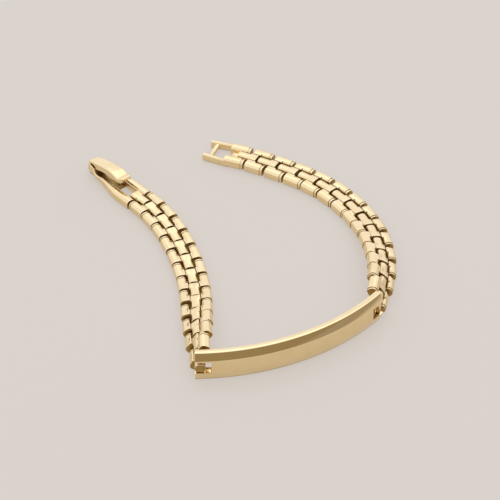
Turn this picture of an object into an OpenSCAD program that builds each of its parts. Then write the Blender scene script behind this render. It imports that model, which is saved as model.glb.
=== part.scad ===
// Link bracelet with a curved name bar, lying open.
// Millimetres. Z = 0 is the surface that it lies on, and the origin is the middle of its
// footprint. The bar stands on its lower edge at -Y, and its front looks towards -Y.
// Each chain runs from an end of the bar, where the band stands on edge, to a free end, where
// it lies flat with its domed side up.

/* [Band] */
// Width of the band over its three rows of links
band_w = 6.2; // [5.8:0.1:6.6]
// Thickness of the band, from the flat underside to the top of the domes
band_t = 2.0; // [1.9:0.05:2.2]
// Distance from one link to the next along a row
pitch = 4.6; // [4.5:0.05:4.8]
// Length of one link
link_l = 3.95; // [3.8:0.05:4.1]
// Gap between two rows
row_gap = 0.34; // [0.34:0.01:0.4]
// Length of the groove near the end of a link that faces the clasp
groove_l = 0.25; // [0.2:0.05:0.4]
// Depth of the groove
groove_d = 0.18; // [0.1:0.01:0.2]
// Length of the collar between the groove and the end
collar_l = 0.3; // [0.2:0.05:0.4]

/* [Hinge pins of the links] */
// Radius of a pin
pin_r = 0.23; // [0.2:0.01:0.24]
// Radius of the bore that a pin runs in
bore_r = 0.6; // [0.59:0.01:0.62]

/* [Name bar] */
// Radius of the bar's curve at its front
bar_r = 45; // [40:0.5:50]
// Angle that the bar covers
bar_arc = 52; // [48:0.5:54]
// Thickness of the bar at its edges
bar_t = 1.15; // [1:0.05:1.3]
// How far the flat middle of the front stands out from its edges
bar_rise = 0.7; // [0.3:0.05:0.8]
// Height of the sloping shoulder above and below the flat middle
shoulder_h = 1.75; // [1.5:0.05:1.8]
// Depth of the notch at each end
notch_l = 3.1; // [2.8:0.1:3.6]
// Distance from an end of the bar to its hinge pin
prong_l = 0.95; // [0.9:0.05:1.1]

/* [Clasp] */
// Width of the clasp's box, over its side walls
box_w = 4.2; // [4.1:0.05:4.3]
// Thickness of the side walls
wall_t = 0.45; // [0.4:0.05:0.45]
// Height of the side walls where they leave the rails
wall_h = 1.9; // [1.7:0.05:1.95]
// Thickness of the box's floor
floor_t = 0.35; // [0.3:0.05:0.4]
// Distance from the band's last pin to the lever's hinge
hinge_x = 12.6; // [12:0.1:13]
// Width of the lever
lever_w = 2.5; // [2.4:0.1:2.8]
// Thickness of the lever's plate
lever_t = 0.6; // [0.5:0.05:0.7]
// Height of the lever's side flanges, from the top of the plate
flange_h = 1.1; // [0.9:0.05:1.15]
// Radius of the lever's arch
arch_r = 21; // [18:1:26]
// Angle that the lever stands open
lever_open = 8; // [0:1:30]

/* [Catch] */
// Length of the catch frame beyond its hinge pin
catch_l = 7.9; // [7.5:0.1:8.5]
// Width of the thin part of each arm
arm_w = 0.9; // [0.85:0.05:0.95]
// Height of the thin part of each arm
arm_h = 1.6; // [1.5:0.05:1.7]
// Radius of the cross bar
cross_r = 0.5; // [0.4:0.05:0.55]

/* [Hidden] */
$fn = 48;
gold = [0.93, 0.81, 0.56];

// A joint of a chain is one hinge pin. Each row of a table is a section of the chain, counted
// from the bar outward, in which every joint turns and rolls by the same angle.
JOINTS = 0;      // column: number of joints in the section
TURN = 1;        // column: turn of the heading at each joint, seen from above, in degrees
ROLL = 2;        // column: roll towards lying flat at each joint, in degrees
LEFT_RUN = [
    [2, 0.2, 11.5],
    [2, 0.4, 10.5],
    [5, -0.2, 7.2],
    [4, 2, 2.5],
    [6, 1.9, 0],
    [6, 3.1, 0],
    [1, 0, 0]
];
RIGHT_RUN = [
    [2, 0.8, 11.5],
    [2, 2, 10.5],
    [5, 2.9, 6.2],
    [4, 3.2, 3],
    [3, 4, 1],
    [6, 4, 0],
    [6, 1.4, 0]
];

// Side of a chain on which the inside of the bracelet lies, looking outward from the bar
LEFT = -1;
RIGHT = 1;

// Centre of the bar's curve on the surface, and the angle of its left end
bar_at = [-9.16, 8.35];
bar_start = 271.3;

// Headings of the first link of each chain
left_heading = 92;
right_heading = 78;

// How far the twisted stretch is held up, from this roll to this far short of standing on edge
lift = 0.4;
lift_from = 8;
lift_to = 40;

row_w = (band_w - 2 * row_gap) / 3;
row_step = row_w + row_gap;
axis_z = band_t / 2;
half = pitch / 2;
overhang = (link_l - half) / 2 / half;

function turned(a) = [cos(a), sin(a)];

// Both columns of a table written out joint by joint, and added up along the chain
function each_joint(run, column) = [for (row = run) for (i = [1 : row[JOINTS]]) row[column]];
function added_up(steps, start) =
    [for (i = 0, sum = start + steps[0]; i < len(steps);
          i = i + 1, sum = sum + (i < len(steps) ? steps[i] : 0)) sum];
function headings(run, first) = added_up(each_joint(run, TURN), first);
function rolls(run) = [for (fallen = added_up(each_joint(run, ROLL), 0)) max(90 - fallen, 0)];

// Height of the band's middle when it is rolled and its lower edge is on the surface
function edge_z(roll) = band_w / 2 * sin(roll) + axis_z * cos(roll);

// The band's stiffness holds the twisted stretch up a little
function middle_z(roll) = edge_z(roll) + lift * min(roll / lift_from, (90 - roll) / lift_to, 1);

// Height of the next pin: as above, or more where a sloping link's end would dip too low
function next_z(z, roll, link_roll) =
    max(middle_z(roll), (edge_z(link_roll) + overhang * z) / (1 + overhang));

// Roll at each pin, halfway between the rolls of the two links that share it
function pin_roll(roll, i) =
    i == 0 ? 90 : i == len(roll) ? roll[i - 1] : (roll[i - 1] + roll[i]) / 2;

// Places of the hinge pins: each lies half a pitch from the last
function next_pin(pin, heading, z) =
    let (step = sqrt(half * half - pow(z - pin[2], 2)), way = turned(heading))
    [pin[0] + step * way[0], pin[1] + step * way[1], z];
function pins(first, heading, roll) =
    [for (i = 0, pin = first; i <= len(heading);
          pin = i < len(heading)
              ? next_pin(pin, heading[i], next_z(pin[2], pin_roll(roll, i + 1), roll[i]))
              : pin,
          i = i + 1) pin];

// Place on the middle of the bar's thickness at an angle of its curve
bar_mid_r = bar_r - bar_t / 2;
prong_angle = prong_l / bar_mid_r * 180 / PI;
function on_bar(angle) = concat(bar_at + bar_mid_r * turned(angle), band_w / 2);

bar_end = bar_start + bar_arc;
left_headings = headings(LEFT_RUN, left_heading);
right_headings = headings(RIGHT_RUN, right_heading);
left_rolls = rolls(LEFT_RUN);
right_rolls = rolls(RIGHT_RUN);
left_pins = pins(on_bar(bar_start + prong_angle), left_headings, left_rolls);
right_pins = pins(on_bar(bar_end - prong_angle), right_headings, right_rolls);
left_links = len(left_headings) - 1;
right_links = len(right_headings) - 1;

// Puts a link where it lies: its first pin at the origin, X along the band, Z out of the domes
module at_joint(i, pin, heading, roll, side) {
    rise = asin((pin[i + 1][2] - pin[i][2]) / half);
    translate(pin[i]) rotate([side * roll[i], -rise, heading[i]]) children();
}

// A bar along X with a flat underside, sloping feet, straight sides and a domed top
module barrel(from, to, inset = 0, width = row_w, height = band_t) {
    foot = 0.3;
    side_h = height - width / 2;
    side = width / 2 - inset;
    translate([from, 0, -axis_z]) rotate([90, 0, 90]) linear_extrude(to - from) {
        translate([0, side_h]) circle(side);
        polygon([
            [foot - side, inset], [side - foot, inset], [side, inset + foot], [side, side_h],
            [-side, side_h], [-side, inset + foot]
        ]);
    }
}

// One link of a row, centred on X. The side of its chain tells which end faces the clasp
module link_barrel(side) {
    collar_step = 0.05;
    start = half / 2 - link_l / 2;
    end = half / 2 + link_l / 2;
    plain_l = link_l - groove_l - collar_l;
    if (side == LEFT) {
        barrel(start, start + plain_l);
        barrel(end - collar_l, end, collar_step);
    } else {
        barrel(end - plain_l, end);
        barrel(start, start + collar_l, collar_step);
    }
    barrel(start, end, groove_d);
}

// A rod across the band
module cross_rod(x, radius, length) {
    translate([x, 0, 0]) rotate([90, 0, 0]) cylinder(r = radius, h = length, center = true);
}

// Two outer links held together by their two pins
module outer_pair(side) {
    for (row = [-1, 1]) translate([0, row * row_step, 0]) link_barrel(side);
    for (x = [0, half]) cross_rod(x, pin_r, 2 * row_step);
}

// A link of the middle row, drilled for the pins of its neighbours
module middle_link(side) {
    difference() {
        link_barrel(side);
        for (x = [0, half]) cross_rod(x, bore_r, 2 * row_w);
    }
}

module chain(count, pin, heading, roll, side) {
    for (i = [0 : count - 1]) at_joint(i, pin, heading, roll, side) {
        if (i % 2 == 0) middle_link(side);
        else outer_pair(side);
    }
}

// Section of the bar: flat back, and a flat middle at the front between two sloping shoulders
module bar_section() {
    chamfer = 0.15;
    polygon([
        [bar_r - bar_t + chamfer, 0], [bar_r, 0],
        [bar_r + bar_rise, shoulder_h], [bar_r + bar_rise, band_w - shoulder_h],
        [bar_r, band_w], [bar_r - bar_t + chamfer, band_w],
        [bar_r - bar_t, band_w - chamfer], [bar_r - bar_t, chamfer]
    ]);
}

// Notch for the last middle link at one end of the bar
module bar_notch(angle, inward) {
    notch_h = row_w + 2 * row_gap;
    translate(concat(bar_at, (band_w - notch_h) / 2)) rotate(angle)
        translate([bar_r - 2 * bar_t, inward > 0 ? -1 : -notch_l, 0])
            cube([4 * bar_t, notch_l + 1, notch_h]);
}

module id_bar() {
    color(gold) {
        difference() {
            translate(concat(bar_at, 0)) rotate(bar_start) rotate_extrude(angle = bar_arc, $fn = 180)
                bar_section();
            bar_notch(bar_start, 1);
            bar_notch(bar_end, -1);
        }
        for (angle = [bar_start + prong_angle, bar_end - prong_angle])
            translate(on_bar(angle)) cylinder(r = pin_r, h = 2 * row_step, center = true);
    }
}

module chain_left() {
    color(gold) chain(left_links, left_pins, left_headings, left_rolls, LEFT);
}

module chain_right() {
    color(gold) chain(right_links, right_pins, right_headings, right_rolls, RIGHT);
}

// The last place of each chain carries its frame
module at_left_end() {
    at_joint(left_links, left_pins, left_headings, left_rolls, LEFT) children();
}

module at_right_end() {
    at_joint(right_links, right_pins, right_headings, right_rolls, RIGHT) children();
}

// Both frames begin level with the ends of the last links
frame_from = half / 2 - link_l / 2;

// Half-round rails, one in line with each outer row
module rails(to) {
    for (side = [-1, 1]) translate([0, side * row_step, 0]) barrel(frame_from, to);
}

// Extrudes an outline of X and Z across the band, from one Y to another
module across(from, to) {
    translate([0, to, 0]) rotate([90, 0, 0]) linear_extrude(to - from) children();
}

// Clasp: its box tapers up to the lever's hinge. Heights here are from the surface
rail_to = 4.2;
box_from = 3.8;
floor_from = 4.6;
ledge_l = 0.9;
ledge_h = 1.05;
level_to = 6.4;
slim_x = 10.6;
slim_z = [0.55, 1.4];
hinge_z = 1.5;
hinge_pin_r = 0.34;
hinge_bore_r = 0.4;
ear_r = 0.68;
tip_r = 2.4;

module box_side() {
    polygon([
        [box_from, 0], [level_to, 0], [slim_x, slim_z[0]], [hinge_x, hinge_z - ear_r],
        [hinge_x, hinge_z], [slim_x, slim_z[1]], [level_to, wall_h], [box_from, wall_h]
    ]);
    translate([hinge_x, hinge_z]) circle(ear_r);
}

module box_floor() {
    polygon([
        [floor_from, 0], [level_to, 0], [slim_x, slim_z[0]],
        [slim_x, slim_z[0] + floor_t], [level_to, floor_t], [floor_from, floor_t]
    ]);
    translate([floor_from, 0]) square([ledge_l, ledge_h]);
}

// A plan along X that ends in an arc
module tongue(from, to, radius) {
    height = 3 * band_t;
    translate([from, -box_w / 2, 0]) cube([to - radius - from, box_w, height]);
    translate([to - radius, 0, 0]) cylinder(r = radius, h = height);
}

module clasp_body() {
    rails(rail_to);
    cross_rod(0, pin_r, 2 * row_step);
    translate([0, 0, -axis_z]) {
        for (side = [-1, 1]) {
            middle = side * (box_w - wall_t) / 2;
            intersection() {
                across(middle - wall_t / 2, middle + wall_t / 2) box_side();
                tongue(box_from, hinge_x + nose_r, tip_r);
            }
        }
        across((wall_t - box_w) / 2, (box_w - wall_t) / 2) box_floor();
        translate([0, 0, hinge_z]) cross_rod(hinge_x, hinge_pin_r, box_w - 1.5 * wall_t);
    }
}

module clasp_frame() {
    color(gold) at_left_end() clasp_body();
}

// Lever, drawn closed: an arched plate with side flanges, tangent to a round nose at the hinge,
// that ends in a lip turned up for a fingernail and has a hook below it. Nose and lip are set in
// from the plate by a fine seam
crown_x = 8.8;
crown_z = 3.05;
arch_z = crown_z - arch_r;
nose_r = arch_r - norm([hinge_x - crown_x, hinge_z - arch_z]);
nose_angle = atan2(hinge_z - arch_z, hinge_x - crown_x);
nose_tip_r = 1.9;
lip_angle = 104.6;
lip_r = 0.8;
lip_sweep = 50;
seam = 0.03;
flange_t = 0.4;
hook = [8.5, 9];
hook_z = 1.1;
hook_w = 1.5;

// A stretch of a ring about an axis across the band, from one angle to another above +X
module ring(x, z, from, to) {
    translate([x, 0, z]) rotate([90, 0, 0]) rotate(from) rotate_extrude(angle = to - from, $fn = 180)
        children();
}

module lever_plate() {
    side = lever_w / 2;
    top = arch_r;
    under = arch_r - lever_t;
    foot = arch_r - flange_h;
    ring(crown_x, arch_z, nose_angle, lip_angle) polygon([
        [foot, -side], [top, -side], [top, side], [foot, side],
        [foot, side - flange_t], [under, side - flange_t], [under, flange_t - side],
        [foot, flange_t - side]
    ]);
    intersection() {
        translate([0, 0, hinge_z]) cross_rod(hinge_x, nose_r - seam, lever_w);
        tongue(hinge_x - 2 * nose_r, hinge_x + nose_r, nose_tip_r);
    }
}

// The lip curls up from the end of the arch and has a round rim
module lever_lip() {
    lip_x = crown_x + (arch_r + lip_r) * cos(lip_angle);
    lip_z = arch_z + (arch_r + lip_r) * sin(lip_angle);
    rim_angle = lip_angle + 180 - lip_sweep;
    overlap = 3;
    lip_w = lever_w - 2 * seam;
    ring(lip_x, lip_z, rim_angle, lip_angle + 180 + overlap)
        translate([lip_r + seam, -lip_w / 2]) square([lever_t - 2 * seam, lip_w]);
    translate([lip_x, 0, lip_z] + (lip_r + lever_t / 2) * [cos(rim_angle), 0, sin(rim_angle)])
        cross_rod(0, lever_t / 2, lip_w);
}

module clasp_lever() {
    under = crown_z - lever_t / 2;
    color(gold) at_left_end() translate([hinge_x, 0, hinge_z - axis_z]) rotate([0, lever_open, 0])
        translate([-hinge_x, 0, -hinge_z]) difference() {
            union() {
                lever_plate();
                lever_lip();
                translate([hook[0], -hook_w / 2, hook_z])
                    cube([hook[1] - hook[0], hook_w, under - hook_z]);
            }
            translate([0, 0, hinge_z]) cross_rod(hinge_x, hinge_bore_r, 2 * lever_w);
        }
}

// Catch: two arms, a low web behind the hinge and the cross bar that the lever holds down
catch_rail_to = 3.3;
web = [1.3, 2.6];
web_z = [0.45, 0.95];
cross_from_end = 0.9;

module catch_frame() {
    arm_mid = (band_w - arm_w) / 2;
    color(gold) at_right_end() {
        rails(catch_rail_to);
        cross_rod(0, pin_r, 2 * row_step);
        for (side = [-1, 1]) translate([0, side * arm_mid, 0])
            barrel(catch_rail_to - arm_w, catch_l, 0, arm_w, arm_h);
        translate([web[0], -row_step, web_z[0] - axis_z])
            cube([web[1] - web[0], 2 * row_step, web_z[1] - web_z[0]]);
        translate([0, 0, arm_h / 2 - axis_z])
            cross_rod(catch_l - cross_from_end - cross_r, cross_r, 2 * arm_mid);
    }
}

id_bar();
chain_left();
chain_right();
clasp_frame();
clasp_lever();
catch_frame();
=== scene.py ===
"""Link bracelet lying open, with a curved name bar, a lever clasp and a catch.

Sizes are in millimetres, as the part's, and each mesh is scaled to metres when it is done.
"""
from collections import namedtuple
from math import asin, cos, degrees, hypot, pi, radians, sin, sqrt

import bmesh
import bpy
from mathutils import Matrix, Vector


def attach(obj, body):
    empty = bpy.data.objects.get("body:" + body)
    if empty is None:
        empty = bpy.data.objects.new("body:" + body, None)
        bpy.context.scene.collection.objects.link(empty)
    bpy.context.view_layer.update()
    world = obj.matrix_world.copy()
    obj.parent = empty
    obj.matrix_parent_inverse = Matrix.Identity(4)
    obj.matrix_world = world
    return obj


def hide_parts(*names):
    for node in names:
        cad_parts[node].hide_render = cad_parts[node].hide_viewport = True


MM = 0.001

# Band
BAND_W = 6.2
BAND_T = 2.0
PITCH = 4.6
LINK_L = 3.95
ROW_GAP = 0.34
GROOVE_L = 0.25
GROOVE_D = 0.15
COLLAR_L = 0.3
COLLAR_STEP = 0.05
PIN_R = 0.23
BORE_R = 0.6
AXIS_Z = BAND_T / 2
HALF = PITCH / 2
OVERHANG = (LINK_L - HALF) / 2 / HALF

# Rows: they touch, but for the snug gap, along half of each link, and the half of an outer link
# with the collar is drawn in by the recess
SNUG_GAP = 0.02
ROW_W = (BAND_W - 2 * SNUG_GAP) / 3
ROW_STEP = ROW_W + SNUG_GAP
MIDDLE_L = 4.0
MIDDLE_SHIFT = -0.3
RECESS = 0.12
RECESS_EASE = 0.15

# Lie of the links: uneven spacing, the left ones moved towards the bar by up to the slide, and
# their far edge raised by an angle that goes down to nothing over the last few
PLAY = 0.08
PLAY_TURN = 2.4
SLIDE = 0.65
FAR_EDGE_UP = 4
LEVEL_OVER = 3

# Name bar
BAR_AT = Vector((-9.16, 8.35))
BAR_START = 271.3
BAR_ARC = 52
BAR_R = 45
BAR_T = 1.15
BAR_RISE = 0.7
SHOULDER_H = 1.75
NOTCH_L = 3.1
NOTCH_H = (BAND_W + 4 * ROW_GAP) / 3
NOTCH_EDGE = 0.12
PRONG_L = 0.95
BAR_MID_R = BAR_R - BAR_T / 2
PRONG_ANGLE = degrees(PRONG_L / BAR_MID_R)
BAR_STEPS = 156

# Clasp frame, with a floor that lies level and then rises to a slim end
FLOOR_T = 0.35
FLOOR_Z = 0.02
FLOOR_FROM = 4.6
LEDGE_L = 0.9
LEDGE_H = 0.5
LEVEL_TO = 6.4
SLIM_X = 10.6
SLIM_Z = 0.55
END_Z = 0.6
FLOOR_TO = 12.2
WALL_INNER = 1.4
INTO_WALL = 0.1
HINGE_X = 12.6
HINGE_Z = 1.5
HINGE_PIN_R = 0.34
HINGE_BORE_R = 0.4

# Sides of the clasp: distance along the band, inner and outer side, heights of top and bottom
SIDE_RUN = [
    (2.4, 1.1, 3.1, 2.0, 0.0), (3.6, 1.12, 2.97, 1.99, 0.02), (4.8, 1.2, 2.74, 1.96, 0.1),
    (5.8, 1.28, 2.53, 1.93, 0.22), (6.8, 1.35, 2.33, 1.9, 0.38), (7.7, 1.4, 2.18, 1.88, 0.52),
    (8.3, 1.4, 2.09, 1.8, 0.6), (8.9, 1.4, 2.02, 1.65, 0.68), (9.6, 1.4, 1.94, 1.55, 0.75),
    (10.2, 1.4, 1.87, 1.6, 0.8), (10.7, 1.38, 1.8, 2.1, 0.82), (11.1, 1.36, 1.75, 2.5, 0.84),
    (11.6, 1.34, 1.67, 2.66, 0.86), (12.1, 1.32, 1.6, 2.7, 0.9), (12.5, 1.31, 1.54, 2.64, 1.0),
    (12.75, 1.3, 1.49, 2.45, 1.25),
]

# Clasp lever
LEVER_W = 2.4
LEVER_T = 0.6
LEVER_OPEN = 8
CROWN_Z = 3.05
PLATE_T = 0.45
FLANGE_T = 0.35
SHOULDER_R = 0.3
SHOULDER_STEPS = 5
HOOK = (8.5, 9)
HOOK_Z = 1.1
HOOK_W = 1.5
HOOK_EDGE = 0.15
HOOK_INTO_PLATE = 0.3

# The open lever: distance along the band, half width, height of the top and of the flanges
LEVER_RUN = [
    (2.5, 1.05, 4.1, 3.4), (2.65, 1.17, 4.26, 3.3), (2.9, 1.27, 4.28, 3.22),
    (3.2, 1.34, 4.1, 3.15), (3.7, 1.4, 3.94, 3.08), (4.2, 1.42, 4.0, 3.04),
    (4.8, 1.42, 4.2, 3.0), (5.4, 1.4, 4.29, 2.95), (6.2, 1.34, 4.3, 2.88),
    (7.0, 1.3, 4.28, 2.88), (7.7, 1.3, 4.22, 2.92), (8.4, 1.3, 4.11, 2.85),
    (9.5, 1.3, 3.92, 2.6), (10.8, 1.28, 3.64, 2.2), (11.7, 1.22, 3.4, 1.8),
    (12.15, 1.18, 3.27, 1.3), (12.6, 1.14, 3.14, 1.08), (13.0, 1.06, 3.02, 1.3),
    (13.28, 0.9, 2.83, 1.9), (13.42, 0.6, 2.66, 2.3),
]

# Catch frame
CATCH_L = 7.9
ARM_W = 0.9
ARM_H = 1.6
CROSS_R = 0.5
CATCH_RAIL_TO = 3.3
WEB = (1.3, 2.6)
WEB_Z = (0.45, 0.95)
CROSS_FROM_END = 0.9
ARM_Y = (BAND_W - ARM_W) / 2
CATCH_TAPER = 0.4
CATCH_TURN = 3

# The chains, section by section from the bar outward, as the part's source has them: the joints,
# and at each joint the turn of the heading and the fall of the roll, in degrees
Section = namedtuple("Section", "joints turn roll")
LEFT_RUN = [
    Section(2, 0.2, 11.5),
    Section(2, 0.4, 10.5),
    Section(5, -0.2, 7.2),
    Section(4, 2, 2.5),
    Section(6, 1.9, 0),
    Section(6, 3.1, 0),
    Section(1, 0, 0),
]
RIGHT_RUN = [
    Section(2, 0.8, 11.5),
    Section(2, 2, 10.5),
    Section(5, 2.9, 6.2),
    Section(4, 3.2, 3),
    Section(3, 4, 1),
    Section(6, 4, 0),
    Section(6, 1.4, 0),
]
LEFT_HEADING = 92
RIGHT_HEADING = 78
LEFT_SIDE = -1
RIGHT_SIDE = 1
LIFT = 0.4
LIFT_FROM = 8
LIFT_TO = 40

# Small radii that the finish gives to edges, and the steps and angles of that finish
LINK_EDGE = 0.09
COLLAR_EDGE = 0.07
END_STEPS = 3
RUN_STEPS = 4
PAST_EDGE = 1.3
BAR_EDGE = 0.1
BACK_EDGE = 0.15
SHOULDER_EDGE = 0.25
BAR_EDGE_STEPS = 8
FINE_EDGE = 0.05
FLOOR_EDGE = 0.03
SOFTEN_ANGLE = 50
SHARP_ANGLE = 35
ROUND = 48

# Section of a link, a superellipse with a power for its dome, its foot and its snug sides
RING_STEPS = 44
DOME_POWER = 2.5
FOOT_POWER = 3.6
SNUG_POWER = 7

# Which faces of a link get the darker gold, which is painted shade: normals along the band or
# towards the middle row, and bores
ALONG_BAND = 0.75
TOWARDS_MIDDLE = 0.8
BORE_MARGIN = 0.02


# Places of the links

def turned(angle):
    """A direction in a plane, from an angle in degrees."""
    return Vector((cos(radians(angle)), sin(radians(angle))))


def added_up(steps, start):
    sums = []
    for step in steps:
        start += step
        sums.append(start)
    return sums


def each_joint(run, column):
    return [getattr(row, column) for row in run for _ in range(row.joints)]


def edge_z(roll):
    """Height of the band's middle where its lower edge touches the surface."""
    return BAND_W / 2 * sin(radians(roll)) + AXIS_Z * cos(radians(roll))


def middle_z(roll, least):
    """Height of a hinge pin; where the band neither lies flat nor stands, it is a little up."""
    over = max(roll - least, 0) / (LIFT_FROM - least)
    return edge_z(roll) + LIFT * min(over, (90 - roll) / LIFT_TO, 1)


def pin_roll(rolls, i):
    if i == 0:
        return 90
    if i == len(rolls):
        return rolls[-1]
    return (rolls[i - 1] + rolls[i]) / 2


def link_places(run, heading, first, side, least=0.0):
    """A matrix for each link: its first pin at the origin, X along the band, Z out of the domes.

    A link keeps the least roll, which goes down to nothing over the last few.
    """
    headings = added_up(each_joint(run, "turn"), heading)
    rolls = [max(90 - fallen, 0) for fallen in added_up(each_joint(run, "roll"), 0)]
    last = len(rolls) - 1
    rolls = [max(roll, least * min((last - i) / LEVEL_OVER, 1)) for i, roll in enumerate(rolls)]
    pin = first
    places = []
    for i, (way, roll) in enumerate(zip(headings, rolls)):
        clear_of_floor = (edge_z(roll) + OVERHANG * pin.z) / (1 + OVERHANG)
        z = max(middle_z(pin_roll(rolls, i + 1), least), clear_of_floor)
        flat = turned(way) * sqrt(HALF**2 - (z - pin.z) ** 2)
        rise = asin((z - pin.z) / HALF)
        places.append(
            Matrix.Translation(pin)
            @ Matrix.Rotation(radians(way), 4, "Z")
            @ Matrix.Rotation(-rise, 4, "Y")
            @ Matrix.Rotation(radians(side * roll), 4, "X")
        )
        pin = Vector((pin.x + flat.x, pin.y + flat.y, z))
    return places


def on_bar(angle):
    """The middle of the bar's thickness and height, at an angle of its arc."""
    spot = BAR_AT + BAR_MID_R * turned(angle)
    return Vector((spot.x, spot.y, BAND_W / 2))


# Tools for meshes and objects

def added(name, data):
    """A new object of the data, in the scene."""
    obj = bpy.data.objects.new(name, data)
    bpy.context.scene.collection.objects.link(obj)
    return obj


def arc(center, radius, start, end, steps):
    """Points of an arc in a plane, from one angle to another, both ends included."""
    cx, cy = center
    angles = [radians(start + (end - start) * i / steps) for i in range(steps + 1)]
    return [(cx + radius * cos(a), cy + radius * sin(a)) for a in angles]


def rounded(corners, steps=3):
    """A closed outline with each corner (x, y, radius) rounded by an arc-like curve."""
    points = []
    for i, (x, y, radius) in enumerate(corners):
        here = Vector((x, y))
        before = Vector(corners[i - 1][:2]) - here
        after = Vector(corners[(i + 1) % len(corners)][:2]) - here
        if radius <= 0:
            points.append((x, y))
            continue
        start = here + before.normalized() * radius
        end = here + after.normalized() * radius
        for k in range(steps + 1):
            t = k / steps
            spot = start * (1 - t) ** 2 + here * 2 * t * (1 - t) + end * t**2
            points.append((spot.x, spot.y))
    return points


def smooth_run(knots, steps):
    """Evenly stepped points of a smooth curve through the knots."""
    vectors = [Vector(knot) for knot in knots]
    padded = [2 * vectors[0] - vectors[1]] + vectors + [2 * vectors[-1] - vectors[-2]]
    points = []
    for a, b, c, d in zip(padded, padded[1:], padded[2:], padded[3:]):
        for i in range(steps):
            t = i / steps
            square = (2 * a - 5 * b + 4 * c - d) * t**2
            points.append((2 * b + (c - a) * t + square + (3 * b - a - 3 * c + d) * t**3) / 2)
    return points + [vectors[-1]]


def skinned(rings):
    """A closed mesh over rings of points, with its end rings capped."""
    bm = bmesh.new()
    loops = [[bm.verts.new(point) for point in ring] for ring in rings]
    for a, b in zip(loops, loops[1:]):
        for i in range(len(a)):
            j = (i + 1) % len(a)
            bm.faces.new((a[i], a[j], b[j], b[i]))
    bm.faces.new(list(reversed(loops[0])))
    bm.faces.new(loops[-1])
    bmesh.ops.recalc_face_normals(bm, faces=bm.faces)
    mesh = bpy.data.meshes.new("shape")
    bm.to_mesh(mesh)
    bm.free()
    return mesh


def moved(mesh, matrix):
    mesh.transform(matrix)
    return mesh


def across(outline, start, end):
    """An outline of X and Z, extruded along Y."""
    return skinned([[(x, y, z) for x, z in outline] for y in (start, end)])


def rod(x, z, radius, half_length):
    """A rod along Y, with its ends slightly rounded."""
    soft = min(FINE_EDGE, radius / 3)
    stations = [(-half_length, radius - soft), (-half_length + soft, radius)]
    stations += [(-y, r) for y, r in reversed(stations)]
    rings = []
    for y, r in stations:
        rings.append([(px, y, pz) for px, pz in arc((x, z), r, 0, 360, ROUND)[:-1]])
    return skinned(rings)


def combined(name, base, others, how):
    """The base mesh joined with, or cut by, the other meshes, exactly."""
    body = added(name, base)
    tools = []
    for mesh in others:
        tool = added("tool", mesh)
        step = body.modifiers.new("step", "BOOLEAN")
        step.operation = how
        step.solver = "EXACT"
        step.object = tool
        tools.append(tool)
    result = applied(body)
    for tool in tools:
        bpy.data.objects.remove(tool)
    return result


def applied(obj):
    """The object's mesh with its modifiers applied; the object itself goes."""
    depsgraph = bpy.context.evaluated_depsgraph_get()
    mesh = bpy.data.meshes.new_from_object(obj.evaluated_get(depsgraph), depsgraph=depsgraph)
    bpy.data.objects.remove(obj)
    return mesh


def softened(mesh, width):
    """The mesh with its sharper edges rounded by a small bevel."""
    obj = added("soften", mesh)
    bevel = obj.modifiers.new("edges", "BEVEL")
    bevel.width = width
    bevel.segments = 2
    bevel.limit_method = "ANGLE"
    bevel.angle_limit = radians(SOFTEN_ANGLE)
    bevel.use_clamp_overlap = True
    return applied(obj)


def piece(name, mesh, materials, node, body, place=Matrix()):
    """A finished piece: its mesh laid in place and scaled to metres, riding on its body."""
    own = mesh.copy()
    own.name = name
    own.transform(Matrix.Scale(MM, 4) @ place)
    own.shade_smooth()
    own.set_sharp_from_angle(angle=radians(SHARP_ANGLE))
    for material in materials:
        own.materials.append(material)
    obj = added(name, own)
    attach(obj, body)
    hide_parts(node)


# Links

def link_ring(x, inset, width, height, snug=()):
    """Ring of a domed bar at one place along X, drawn in by the inset on all sides.

    It is a superellipse: nearly round above its middle, and fuller below it and on its snug
    sides, which lie against a neighbour.
    """
    half_w = width / 2 - inset
    half_h = height / 2 - inset
    points = []
    for i in range(RING_STEPS):
        way = turned(360 * i / RING_STEPS)
        power = DOME_POWER if way.y >= 0 else FOOT_POWER
        if any(way.x * side > 0 for side in snug):
            power = SNUG_POWER
        reach = ((abs(way.x) / half_w) ** power + (abs(way.y) / half_h) ** power) ** (-1 / power)
        points.append((x, reach * way.x, height / 2 - AXIS_Z + reach * way.y))
    return points


def end_steps(edge, inset):
    """Offsets from an end and insets there that round its edge off."""
    turn = [pi / 2 * i / END_STEPS for i in range(END_STEPS + 1)]
    curve = [(edge * (1 - cos(t)), inset + edge * (1 - sin(t))) for t in turn]
    return curve + [(PAST_EDGE * edge, inset)]


def rounded_ends(start, end, edge=LINK_EDGE, inset=0.0):
    """Places along X and insets there of a bar with rounded end edges: its start, its end."""
    steps = end_steps(edge, inset)
    first = [(start + dx, drawn_in) for dx, drawn_in in steps]
    return first, [(end - dx, drawn_in) for dx, drawn_in in reversed(steps)]


def collared(start, end):
    """Places and insets of a bar with a groove and a collar at its far end."""
    groove = (end - COLLAR_L - GROOVE_L, end - COLLAR_L)
    first, last = rounded_ends(start, groove[0])
    stations = first + last + [(x, GROOVE_D) for x in groove]
    first, last = rounded_ends(groove[1], end, COLLAR_EDGE, COLLAR_STEP)
    return stations + first + last


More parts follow.
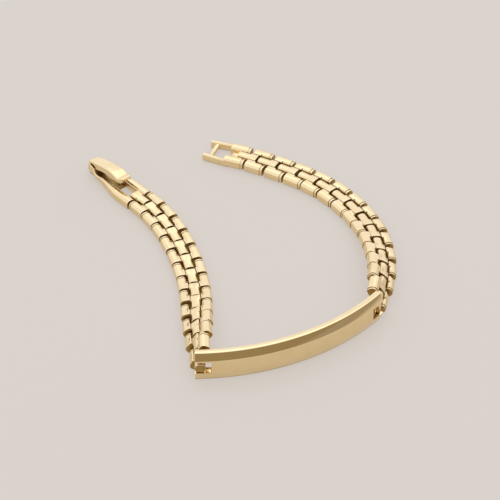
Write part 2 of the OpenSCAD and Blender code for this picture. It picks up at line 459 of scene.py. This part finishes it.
def outer_barrel(row):
    """A link of an outer row; the half with the collar is drawn in towards the middle row."""
    recess_from = HALF / 2 + MIDDLE_SHIFT
    stations = collared(HALF / 2 - LINK_L / 2, HALF / 2 + LINK_L / 2)
    stations += [(recess_from, 0), (recess_from + RECESS_EASE, 0)]
    stations.sort(key=lambda station: station[0])
    rings = []
    for x, inset in stations:
        drawn_in = RECESS * min(max((x - recess_from) / RECESS_EASE, 0), 1)
        narrow = 1 - drawn_in / (ROW_W / 2)
        ring = link_ring(x, inset, ROW_W, BAND_T, [-row] if x <= recess_from else [])
        ring = [(px, py * (narrow if py * row < 0 else 1), pz) for px, py, pz in ring]
        rings.append([(px, py + row * ROW_STEP, pz) for px, py, pz in ring])
    return skinned(rings)


def middle_link_mesh():
    """A link of the middle row, with its two bores; its half beyond the middle is snug."""
    start = HALF / 2 + MIDDLE_SHIFT - MIDDLE_L / 2
    first, last = rounded_ends(start, start + MIDDLE_L)
    body = skinned([
        link_ring(x, inset, ROW_W, BAND_T, (-1, 1) if x > HALF / 2 else ())
        for x, inset in first + [(HALF / 2, 0), (HALF / 2 + RECESS_EASE, 0)] + last
    ])
    bores = [rod(x, 0, BORE_R, ROW_W) for x in (0, HALF)]
    mesh = combined("middle_link", body, bores, "DIFFERENCE")

    def in_bore(spot):
        return min(hypot(spot.x - x, spot.z) for x in (0, HALF)) < BORE_R + BORE_MARGIN

    # The ends and the bores get the darker gold: painted shade.
    return painted_shade_on(mesh, lambda face: is_end(face) or in_bore(face.center))


def outer_pair_mesh():
    """The two links of the outer rows with the two pins between them."""
    pins = [rod(x, 0, PIN_R, ROW_STEP) for x in (0, HALF)]
    mesh = combined("outer_pair", outer_barrel(1), [outer_barrel(-1)] + pins, "UNION")
    inner_y = ROW_STEP - ROW_W / 2

    def recessed(face):
        toward_middle = -face.normal.y if face.center.y > 0 else face.normal.y
        inside = face.center.x > HALF / 2 + MIDDLE_SHIFT and toward_middle > TOWARDS_MIDDLE
        return is_end(face) or inside or abs(face.center.y) < inner_y

    # The ends, the inner faces, and the faces of the recessed half towards the middle row get the
    # darker gold: painted shade.
    return painted_shade_on(mesh, recessed)


def is_end(face):
    return abs(face.normal.x) > ALONG_BAND


def painted_shade_on(mesh, chosen):
    """The mesh with the second material, a darker gold that is painted shade, on the chosen
    faces.
    """
    for face in mesh.polygons:
        face.material_index = int(chosen(face))
    return mesh


def end_for_end():
    """Turns a link about its middle, so that its collar is at its other end."""
    middle = Matrix.Translation((HALF / 2, 0, 0))
    return middle @ Matrix.Rotation(pi, 4, "Z") @ middle.inverted()


def chain(side_name, places, way_round, middle, outer, materials, slide=0.0):
    """The pieces of a chain: links of the middle row take turns with outer pairs."""
    node = "chain_" + side_name
    for i, place in enumerate(places[:-1]):
        kind, mesh = ("middle", middle) if i % 2 == 0 else ("outer", outer)
        along = PLAY * sin(PLAY_TURN * i) - slide * i / len(places)
        name = f"{side_name}_{kind}_{i + 1:02d}"
        own_place = place @ Matrix.Translation((along, 0, 0)) @ way_round
        piece(name, mesh, materials, node, "bracelet", own_place)


# Name bar

def bar_section():
    """Outline of the bar's section: X is the radius, Y the height."""
    back = BAR_R - BAR_T
    front = BAR_R + BAR_RISE
    return rounded([
        (back, 0, BACK_EDGE), (BAR_R, 0, BAR_EDGE),
        (front, SHOULDER_H, SHOULDER_EDGE), (front, BAND_W - SHOULDER_H, SHOULDER_EDGE),
        (BAR_R, BAND_W, BAR_EDGE), (back, BAND_W, BACK_EDGE),
    ], BAR_EDGE_STEPS)


def notch_cutter(angle, inward):
    """What the bar's notch takes out, at one end of the bar."""
    low = (BAND_W - NOTCH_H) / 2
    high = low + NOTCH_H
    deep = inward * NOTCH_L
    outline = rounded([
        (-inward, low, 0), (deep, low, NOTCH_EDGE), (deep, high, NOTCH_EDGE), (-inward, high, 0),
    ])
    reach = (BAR_R - 2 * BAR_T, BAR_R + 2 * BAR_T)
    cutter = skinned([[(x, y, z) for y, z in outline] for x in reach])
    turn = Matrix.Translation((BAR_AT.x, BAR_AT.y, 0)) @ Matrix.Rotation(radians(angle), 4, "Z")
    return moved(cutter, turn)


def bar_mesh():
    """The curved bar with its two notches and a hinge pin across each."""
    rings = []
    for i in range(BAR_STEPS + 1):
        way = turned(BAR_START + BAR_ARC * i / BAR_STEPS)
        rings.append([(BAR_AT.x + way.x * r, BAR_AT.y + way.y * r, z) for r, z in bar_section()])
    cuts = [notch_cutter(BAR_START, 1), notch_cutter(BAR_START + BAR_ARC, -1)]
    body = combined("bar", skinned(rings), cuts, "DIFFERENCE")
    pins = []
    for angle in (BAR_START + PRONG_ANGLE, BAR_START + BAR_ARC - PRONG_ANGLE):
        upright_pin = moved(rod(0, 0, PIN_R, ROW_STEP), Matrix.Rotation(pi / 2, 4, "X"))
        pins.append(moved(upright_pin, Matrix.Translation(on_bar(angle))))
    return combined("bar", softened(body, FINE_EDGE), pins, "UNION")


# Clasp and catch, drawn along X from the last hinge pin of their chain

def on_surface(mesh):
    """Heights drawn from the surface, moved to heights from the hinge pins."""
    return moved(mesh, Matrix.Translation((0, 0, -AXIS_Z)))


def box_side(side):
    """One side of the clasp: a rail that tapers, from all sides, into a wall with an ear."""
    start = HALF / 2 - LINK_L / 2 - SLIDE
    rings = []
    for dx, inset in end_steps(LINK_EDGE, 0):
        rings.append(side_ring(start + dx, *SIDE_RUN[0][1:], inset, side))
    for station in smooth_run(SIDE_RUN, RUN_STEPS):
        rings.append(side_ring(*station, 0, side))
    rings.append(side_ring(SIDE_RUN[-1][0] + FINE_EDGE, *SIDE_RUN[-1][1:], FINE_EDGE, side))
    return skinned(rings)


def side_ring(x, inner, outer, top, bottom, inset, side):
    middle = side * (inner + outer) / 2
    ring = link_ring(x, inset, outer - inner, top - bottom)
    return [(px, py + middle, pz + AXIS_Z + bottom) for px, py, pz in ring]


def box_floor():
    """Floor of the clasp, with a ledge at its start."""
    outline = [
        (FLOOR_FROM, FLOOR_Z), (LEVEL_TO, FLOOR_Z), (SLIM_X, SLIM_Z), (FLOOR_TO, END_Z),
        (FLOOR_TO, END_Z + FLOOR_T), (SLIM_X, SLIM_Z + FLOOR_T),
        (LEVEL_TO, FLOOR_T), (FLOOR_FROM + LEDGE_L, FLOOR_T),
        (FLOOR_FROM + LEDGE_L, LEDGE_H), (FLOOR_FROM, LEDGE_H),
    ]
    half = WALL_INNER + INTO_WALL
    return softened(on_surface(across(outline, -half, half)), FLOOR_EDGE)


def end_painted_shade(meshes, name):
    """The meshes in one, softened, with the darker gold of painted shade on the ends that face
    the chain.
    """
    body = softened(combined(name, meshes[0], meshes[1:], "UNION"), FINE_EDGE)
    return painted_shade_on(body, lambda face: is_end(face) and face.center.x < 0)


def clasp_frame_mesh():
    """The clasp's two sides with its hinge pin and the last pin of the chain."""
    sides = [box_side(side) for side in (-1, 1)]
    hinge_pin = rod(HINGE_X, HINGE_Z, HINGE_PIN_R, WALL_INNER + INTO_WALL)
    joined = [on_surface(mesh) for mesh in sides + [hinge_pin]]
    joined.append(rod(0, 0, PIN_R, ROW_STEP))
    return end_painted_shade(joined, "clasp_frame")


def lever_ring(x, half, top, bottom, inset=0.0):
    """Section of the lever, a channel that is open below, with rounded shoulders."""
    side = half - inset
    soft = min(SHOULDER_R, side / 2)
    near = arc((side - soft, top - inset - soft), soft, 0, 90, SHOULDER_STEPS)
    far = [(-y, z) for y, z in reversed(near)]
    inner = side - FLANGE_T + inset
    under = top - PLATE_T
    ring = [(side, bottom + inset)] + near + far + [(-side, bottom + inset)]
    ring += [(-inner, bottom + inset), (-inner, under), (inner, under), (inner, bottom + inset)]
    return [(x, y, z) for y, z in ring]


def clasp_lever_mesh():
    """The lever as it stands open: arched channel, hollow before the lip, and a raised rim."""
    run = smooth_run(LEVER_RUN, RUN_STEPS)
    first, last = run[0], run[-1]
    rings = [lever_ring(first[0] - FINE_EDGE, *first[1:], FINE_EDGE)]
    rings += [lever_ring(*station) for station in run]
    rings += [lever_ring(last[0] + FINE_EDGE, *last[1:], FINE_EDGE)]
    channel = skinned(rings)
    hook_top = CROWN_Z - LEVER_T / 2 + HOOK_INTO_PLATE
    hook = across(rounded([
        (HOOK[0], HOOK_Z, HOOK_EDGE), (HOOK[1], HOOK_Z, HOOK_EDGE),
        (HOOK[1], hook_top, 0), (HOOK[0], hook_top, 0),
    ]), -HOOK_W / 2, HOOK_W / 2)
    opened = (
        Matrix.Translation((HINGE_X, 0, HINGE_Z))
        @ Matrix.Rotation(radians(LEVER_OPEN), 4, "Y")
        @ Matrix.Translation((-HINGE_X, 0, -HINGE_Z))
    )
    body = combined("lever", channel, [moved(hook, opened)], "UNION")
    body = combined("lever", body, [rod(HINGE_X, HINGE_Z, HINGE_BORE_R, LEVER_W)], "DIFFERENCE")
    return on_surface(body)


def catch_rail(side):
    """A rail of the catch, with a groove and a collar at its end towards the chain."""
    stations = collared(-CATCH_RAIL_TO, LINK_L / 2 - HALF / 2)
    rings = [link_ring(-x, inset, ROW_W, BAND_T) for x, inset in reversed(stations)]
    return moved(skinned(rings), Matrix.Translation((0, side * ROW_STEP, 0)))


def catch_arm(side):
    """A thin arm of the catch; the two run slightly together."""
    start = CATCH_RAIL_TO - ARM_W
    first, last = rounded_ends(start, CATCH_L)
    rings = []
    for x, inset in first + last:
        y = side * (ARM_Y - CATCH_TAPER * (x - start) / (CATCH_L - start))
        rings.append([(px, py + y, pz) for px, py, pz in link_ring(x, inset, ARM_W, ARM_H)])
    return skinned(rings)


def catch_frame_mesh():
    """The catch's rails and arms with its web, its cross bar and the last pin of the chain."""
    joined = [part(side) for side in (-1, 1) for part in (catch_rail, catch_arm)]
    web = [(WEB[0], WEB_Z[0]), (WEB[1], WEB_Z[0]), (WEB[1], WEB_Z[1]), (WEB[0], WEB_Z[1])]
    joined.append(on_surface(across(web, -ROW_STEP, ROW_STEP)))
    cross_x = CATCH_L - CROSS_FROM_END - CROSS_R
    joined.append(on_surface(rod(cross_x, ARM_H / 2, CROSS_R, ARM_Y - CATCH_TAPER)))
    joined.append(rod(0, 0, PIN_R, ROW_STEP))
    return moved(end_painted_shade(joined, "catch_frame"), Matrix.Rotation(radians(CATCH_TURN), 4, "Z"))


# Materials: two tones each of clean gold and of a darker gold that is painted shade, and the
# numbers of their textures; scales are per metre, and depths and reaches in metres
CLEAN = ((0.885, 0.705, 0.41, 1), (0.86, 0.665, 0.365, 1))
# Darker gold tones: painted shade, put on faces in recesses and at the ends of links
SHADED_TONES = ((0.46, 0.31, 0.11, 1), (0.36, 0.23, 0.07, 1))
# Painted shade, with some tarnish: where ambient occlusion finds a recess within this reach, the
# colour goes towards this dark tone
SHADE_AND_TARNISH = (0.30, 0.17, 0.05, 1)
SHADE_AND_TARNISH_REACH = 0.0005
SHADE_AND_TARNISH_SAMPLES = 8
NOISE_RANGE = (0.3, 0.7)
ROUGH_RANGE = (0.8, 1.25)
TINT = {"scale": 350, "detail": 3}
POLISH = {"scale": 900, "detail": 4}
WAVES = {"scale": 420, "detail": 2}
WAVE_DEPTH = 0.00002
SCRATCHES = {"scale": 2500, "detail": 2, "stretch": (1, 1, 6)}
SCRATCH_DEPTH = 0.000002
SCRATCH_STRENGTH = 0.15


def node_tree(name):
    material = bpy.data.materials.new(name)
    material.use_nodes = True
    return material, material.node_tree.nodes, material.node_tree.links


def noise(nodes, links, coordinates, scale, detail, stretch=(1, 1, 1)):
    mapping = nodes.new("ShaderNodeMapping")
    mapping.inputs["Scale"].default_value = stretch
    links.new(coordinates, mapping.inputs["Vector"])
    texture = nodes.new("ShaderNodeTexNoise")
    texture.inputs["Scale"].default_value = scale
    texture.inputs["Detail"].default_value = detail
    links.new(mapping.outputs["Vector"], texture.inputs["Vector"])
    return texture.outputs["Fac"]


def spread(nodes, links, value, low, high):
    scaled = nodes.new("ShaderNodeMapRange")
    scaled.inputs["From Min"].default_value = NOISE_RANGE[0]
    scaled.inputs["From Max"].default_value = NOISE_RANGE[1]
    scaled.inputs["To Min"].default_value = low
    scaled.inputs["To Max"].default_value = high
    links.new(value, scaled.inputs["Value"])
    return scaled.outputs["Result"]


def mixed(nodes, links, factor, tones):
    """A colour between two tones; a tone is a colour, or a socket that gives one."""
    mix = nodes.new("ShaderNodeMix")
    mix.data_type = "RGBA"
    for letter, tone in zip("AB", tones):
        if isinstance(tone, tuple):
            mix.inputs[letter].default_value = tone
        else:
            links.new(tone, mix.inputs[letter])
    links.new(factor, mix.inputs["Factor"])
    return mix.outputs["Result"]


def bumped(nodes, links, height, strength, depth, normal=None):
    """A normal that follows a height, on top of another normal if there is one."""
    bump = nodes.new("ShaderNodeBump")
    bump.inputs["Strength"].default_value = strength
    bump.inputs["Distance"].default_value = depth
    links.new(height, bump.inputs["Height"])
    if normal:
        links.new(normal, bump.inputs["Normal"])
    return bump.outputs["Normal"]


def gold(name, rough, wave, tones=CLEAN):
    """Polished pale gold: painted shade and some tarnish darken its recesses; uneven polish, fine
    scratches and a soft waviness.
    """
    material, nodes, links = node_tree(name)
    shader = nodes["Principled BSDF"]
    shader.inputs["Metallic"].default_value = 1.0
    place = nodes.new("ShaderNodeTexCoord").outputs["Object"]

    tint_share = spread(nodes, links, noise(nodes, links, place, **TINT), 0, 1)
    tint = mixed(nodes, links, tint_share, tones)
    # Painted shade and some tarnish: the colour goes dark where ambient occlusion finds a recess
    recess = nodes.new("ShaderNodeAmbientOcclusion")
    recess.samples = SHADE_AND_TARNISH_SAMPLES
    recess.inputs["Distance"].default_value = SHADE_AND_TARNISH_REACH
    open_sky = spread(nodes, links, recess.outputs["AO"], 0, 1)
    links.new(mixed(nodes, links, open_sky, (SHADE_AND_TARNISH, tint)), shader.inputs["Base Color"])

    least, most = [rough * part for part in ROUGH_RANGE]
    polish = spread(nodes, links, noise(nodes, links, place, **POLISH), least, most)
    links.new(polish, shader.inputs["Roughness"])

    waves = noise(nodes, links, place, **WAVES)
    scratches = noise(nodes, links, place, **SCRATCHES)
    soft = bumped(nodes, links, waves, wave, WAVE_DEPTH)
    fine = bumped(nodes, links, scratches, SCRATCH_STRENGTH, SCRATCH_DEPTH, soft)
    links.new(fine, shader.inputs["Normal"])
    return material


# Floor: pale where the camera sees it, and dimmer further right; its sizes are in metres
PALE = (0.17, 0.156, 0.14, 1)
DIM = (0.08, 0.066, 0.048, 1)
DIM_TOWARDS = (1, 0, 0)
DIM_FROM_TO = (0.056, 0.085)
FLOOR_ROUGH = 0.75
FLOOR_GLOW = 2.85
FLOOR_HALF = 1.5
BELOW_PART = 0.00001


def eased(nodes, links, value, start, end):
    """From 0 to 1 as the value goes from the start to the end."""
    step = nodes.new("ShaderNodeMapRange")
    step.interpolation_type = "SMOOTHSTEP"
    step.inputs["From Min"].default_value = start
    step.inputs["From Max"].default_value = end
    links.new(value, step.inputs["Value"])
    return step.outputs["Result"]


def toward(nodes, links, place, way):
    """How far a place lies along a way."""
    dot = nodes.new("ShaderNodeVectorMath")
    dot.operation = "DOT_PRODUCT"
    links.new(place, dot.inputs[0])
    dot.inputs[1].default_value = way
    return dot.outputs["Value"]


def floor_material():
    """Pale, softly glowing surface, as of a lit acrylic sheet, which gets dimmer on the right."""
    material, nodes, links = node_tree("floor")
    shader = nodes["Principled BSDF"]
    shader.inputs["Roughness"].default_value = FLOOR_ROUGH
    place = nodes.new("ShaderNodeTexCoord").outputs["Object"]
    fade = eased(nodes, links, toward(nodes, links, place, DIM_TOWARDS), *DIM_FROM_TO)
    tone = mixed(nodes, links, fade, (PALE, DIM))
    links.new(tone, shader.inputs["Base Color"])
    links.new(tone, shader.inputs["Emission Color"])
    shader.inputs["Emission Strength"].default_value = FLOOR_GLOW
    return material


# Camera and softbox: the camera's place and distance are in millimetres, the rest in metres
ELEVATION = 38
CAMERA_DISTANCE = 792.9
FOCAL_LENGTH = 293.5
SENSOR_W = 36
NEAREST = 0.01
LOOK_AT = Vector((2.14, 2.55, 0))
SOFTBOX_AT = (0.1, 0.5, 0.9)
SOFTBOX_SIZE = (0.9, 0.7)
SOFTBOX_WATTS = 1
SOFTBOX_TINT = (1, 0.97, 0.93)

# Room: its tone, and a dim stretch around one way and low down, with the soft edges of both
ROOM = (1.06, 1.09, 1.22, 1)
DIM_ROOM = (0.34, 0.28, 0.19, 1)
DIM_WAY = (0.5, -0.866, 0)
DIM_EDGE = (0.1, 0.5)
DIM_TOP = (0.42, 0.14)


def add_camera():
    """The camera in front of the bracelet, at the photograph's height."""
    data = bpy.data.cameras.new("camera")
    data.lens = FOCAL_LENGTH
    data.sensor_width = SENSOR_W
    data.clip_start = NEAREST
    camera = added("camera", data)
    away = Vector((0, -cos(radians(ELEVATION)), sin(radians(ELEVATION))))
    camera.location = (LOOK_AT + away * CAMERA_DISTANCE) * MM
    camera.rotation_euler = (radians(90 - ELEVATION), 0, 0)
    bpy.context.scene.camera = camera


def add_floor():
    bm = bmesh.new()
    bmesh.ops.create_grid(bm, x_segments=2, y_segments=2, size=FLOOR_HALF)
    mesh = bpy.data.meshes.new("floor")
    bm.to_mesh(mesh)
    bm.free()
    mesh.materials.append(floor_material())
    floor = added("floor", mesh)
    floor.location.z = -BELOW_PART


def add_softbox():
    """A weak rectangular light overhead, aimed at the middle."""
    data = bpy.data.lights.new("overhead", "AREA")
    data.shape = "RECTANGLE"
    data.size, data.size_y = SOFTBOX_SIZE
    data.energy = SOFTBOX_WATTS
    data.color = SOFTBOX_TINT
    light = added("overhead", data)
    light.location = SOFTBOX_AT
    light.rotation_euler = (-Vector(SOFTBOX_AT)).to_track_quat("-Z", "Y").to_euler()


def add_world():
    """Bright soft room, with a dim stretch low down in front."""
    world = bpy.data.worlds.new("room")
    world.use_nodes = True
    nodes, links = world.node_tree.nodes, world.node_tree.links
    direction = nodes.new("ShaderNodeTexCoord").outputs["Generated"]
    split = nodes.new("ShaderNodeSeparateXYZ")
    links.new(direction, split.inputs["Vector"])

    low = eased(nodes, links, split.outputs["Z"], *DIM_TOP)
    in_front = eased(nodes, links, toward(nodes, links, direction, DIM_WAY), *DIM_EDGE)
    both = nodes.new("ShaderNodeMath")
    both.operation = "MULTIPLY"
    links.new(low, both.inputs[0])
    links.new(in_front, both.inputs[1])
    background = nodes["Background"]
    tone = mixed(nodes, links, both.outputs["Value"], (ROOM, DIM_ROOM))
    links.new(tone, background.inputs["Color"])
    background.inputs["Strength"].default_value = 1.0
    bpy.context.scene.world = world


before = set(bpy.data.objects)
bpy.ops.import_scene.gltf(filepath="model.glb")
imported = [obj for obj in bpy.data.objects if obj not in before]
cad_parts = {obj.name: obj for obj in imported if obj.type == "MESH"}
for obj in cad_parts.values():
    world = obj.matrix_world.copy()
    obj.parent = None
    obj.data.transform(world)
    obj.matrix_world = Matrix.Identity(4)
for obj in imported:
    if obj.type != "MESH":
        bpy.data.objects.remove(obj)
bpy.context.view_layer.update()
bpy.context.scene.view_settings.view_transform = "Standard"
add_camera()
add_floor()
add_world()
add_softbox()

plate_gold = [gold("polished_bar", rough=0.06, wave=0.1)]
# The second link material is a darker gold: painted shade for ends, bores, recesses and the
# inside of the clasp.
link_gold = [
    gold("polished_links", rough=0.24, wave=0.6),
    gold("shaded_recess", rough=0.4, wave=0.6, tones=SHADED_TONES),
]
left_start = on_bar(BAR_START + PRONG_ANGLE)
right_start = on_bar(BAR_START + BAR_ARC - PRONG_ANGLE)
left = link_places(LEFT_RUN, LEFT_HEADING, left_start, LEFT_SIDE, FAR_EDGE_UP)
# The clasp stands where the part has it, so that its lever turns on the joint's own axis
clasp_place = link_places(LEFT_RUN, LEFT_HEADING, left_start, LEFT_SIDE)[-1]
right = link_places(RIGHT_RUN, RIGHT_HEADING, right_start, RIGHT_SIDE)
middle_mesh = middle_link_mesh()
outer_mesh = outer_pair_mesh()

piece("name_bar", bar_mesh(), plate_gold, "id_bar", "bracelet")
chain("left", left, Matrix(), middle_mesh, outer_mesh, link_gold, SLIDE)
chain("right", right, end_for_end(), middle_mesh, outer_mesh, link_gold)
piece("clasp_box", clasp_frame_mesh(), link_gold, "clasp_frame", "bracelet", clasp_place)
# The clasp's floor is all of the darker gold: painted shade inside the box.
piece("clasp_floor", box_floor(), link_gold[1:], "clasp_frame", "bracelet", clasp_place)
piece("clasp_tongue", clasp_lever_mesh(), link_gold[:1], "clasp_lever", "lever", clasp_place)
piece("catch_loop", catch_frame_mesh(), link_gold, "catch_frame", "bracelet", right[-1])
